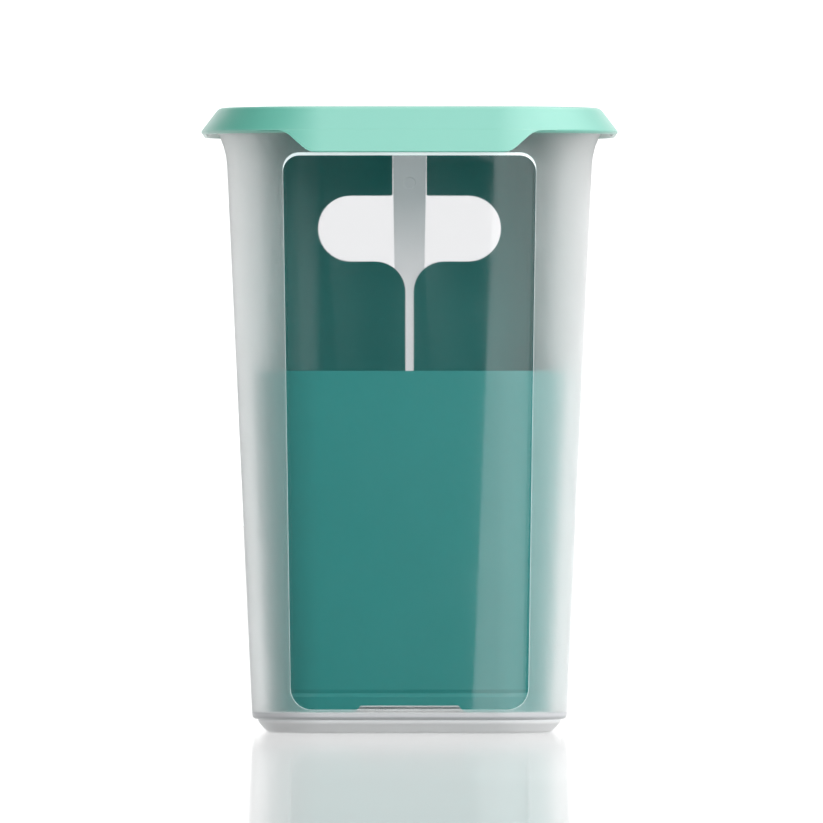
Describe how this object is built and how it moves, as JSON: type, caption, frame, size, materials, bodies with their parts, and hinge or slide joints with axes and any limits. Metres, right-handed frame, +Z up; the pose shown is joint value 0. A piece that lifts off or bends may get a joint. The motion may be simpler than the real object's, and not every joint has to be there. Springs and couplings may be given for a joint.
{
  "type": "pickle keeper with lift strainer",
  "caption": "Tall square food keeper with a clear-windowed frosted container, a lift-out strainer with a long slotted handle, and a lid with pull tabs.",
  "frame": {"origin": "on the surface the keeper stands on, under the middle of the container", "axes": "+Z up, the front window faces -Y, the strainer's handle and the rest bar are at the rear, +Y"},
  "size_m": [0.1338, 0.1448, 0.2],
  "materials": {
    "frosted_shell": "translucent frosted polypropylene with a polished clear window at the front and the rear",
    "frosted_bar": "frosted translucent plastic",
    "teal": "semi-gloss moulded plastic",
    "mint": "satin soft plastic"
  },
  "bodies": {
    "container": {"container": "frosted_shell", "rest_bar": "frosted_bar"},
    "strainer": {"strainer": "teal"},
    "lid": {"lid": "mint"}
  },
  "joints": [
    {"name": "strainer_lift", "type": "slide", "parent": "container", "child": "strainer", "axis": [0, 0, 1], "range_m": [0, 0.195]},
    {"name": "lid_lift", "type": "slide", "parent": "strainer", "child": "lid", "axis": [0, 0, 1], "range_m": [0, 0.05]}
  ]
}
